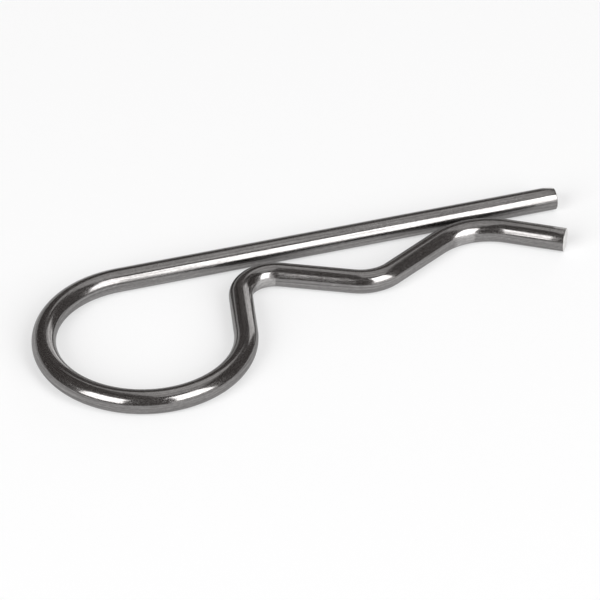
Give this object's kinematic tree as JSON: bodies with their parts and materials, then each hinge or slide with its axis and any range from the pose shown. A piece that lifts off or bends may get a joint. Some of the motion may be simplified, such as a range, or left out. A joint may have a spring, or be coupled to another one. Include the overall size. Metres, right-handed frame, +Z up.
{
  "type": "hitch pin r-clip",
  "caption": "Flat bent spring-wire clip: a straight leg goes through a hitch pin's cross hole, a waved leg grips the pin's outside, and a finger loop pulls it off.",
  "frame": {"origin": "centre of the clip's overall box, on the surface that it lies flat on", "axes": "+X along the straight leg towards its cut end, +Y from the waved leg to the straight leg, +Z up out of the plane of the bends"},
  "size_m": [0.0764, 0.0296, 0.0032],
  "materials": {
    "spring_wire": "bright drawn spring wire, mirror smooth with faint lines along it"
  },
  "bodies": {
    "root": {"clip": "spring_wire"}
  },
  "joints": []
}
